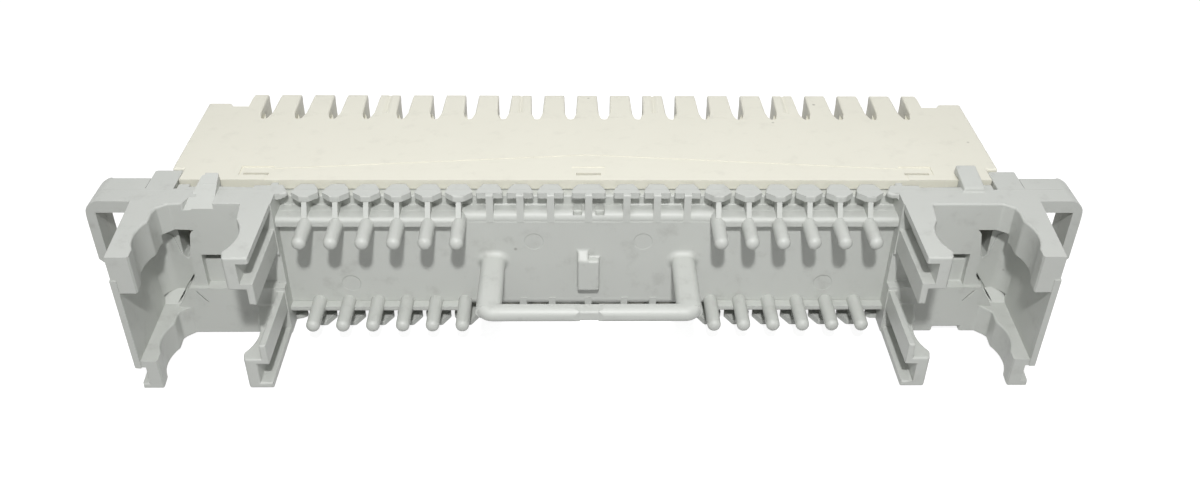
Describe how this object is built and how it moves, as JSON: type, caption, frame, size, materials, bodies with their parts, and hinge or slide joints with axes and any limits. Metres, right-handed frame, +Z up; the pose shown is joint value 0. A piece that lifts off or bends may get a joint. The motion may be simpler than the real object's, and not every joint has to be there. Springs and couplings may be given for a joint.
{
  "type": "punch down wiring block",
  "caption": "Clip-on disconnection module: grey base with rod clamps, wire combs, guide eyes and handle; ivory head with slotted teeth over insulation-displacement contacts.",
  "frame": {"origin": "middle of the footprint, on the underside of the head", "axes": "+X along the module, +Y toward the front where wires are punched down, +Z up"},
  "size_m": [0.1244, 0.0402, 0.0217],
  "materials": {
    "base_plastic": "satin moulded PBT, light grey",
    "head_plastic": "satin moulded PBT, ivory",
    "contact_metal": "stamped bronze sheet, silver plated"
  },
  "bodies": {
    "root": {"base": "base_plastic", "head": "head_plastic", "contact_upper_01": "contact_metal", "contact_upper_02": "contact_metal", "contact_upper_03": "contact_metal", "contact_upper_04": "contact_metal", "contact_upper_05": "contact_metal", "contact_upper_06": "contact_metal", "contact_upper_07": "contact_metal", "contact_upper_08": "contact_metal", "contact_upper_09": "contact_metal", "contact_upper_10": "contact_metal", "contact_upper_11": "contact_metal", "contact_upper_12": "contact_metal", "contact_upper_13": "contact_metal", "contact_upper_14": "contact_metal", "contact_upper_15": "contact_metal", "contact_upper_16": "contact_metal", "contact_upper_17": "contact_metal", "contact_upper_18": "contact_metal", "contact_upper_19": "contact_metal", "contact_upper_20": "contact_metal", "contact_lower_01": "contact_metal", "contact_lower_02": "contact_metal", "contact_lower_03": "contact_metal", "contact_lower_04": "contact_metal", "contact_lower_05": "contact_metal", "contact_lower_06": "contact_metal", "contact_lower_07": "contact_metal", "contact_lower_08": "contact_metal", "contact_lower_09": "contact_metal", "contact_lower_10": "contact_metal", "contact_lower_11": "contact_metal", "contact_lower_12": "contact_metal", "contact_lower_13": "contact_metal", "contact_lower_14": "contact_metal", "contact_lower_15": "contact_metal", "contact_lower_16": "contact_metal", "contact_lower_17": "contact_metal", "contact_lower_18": "contact_metal", "contact_lower_19": "contact_metal", "contact_lower_20": "contact_metal"}
  },
  "joints": []
}
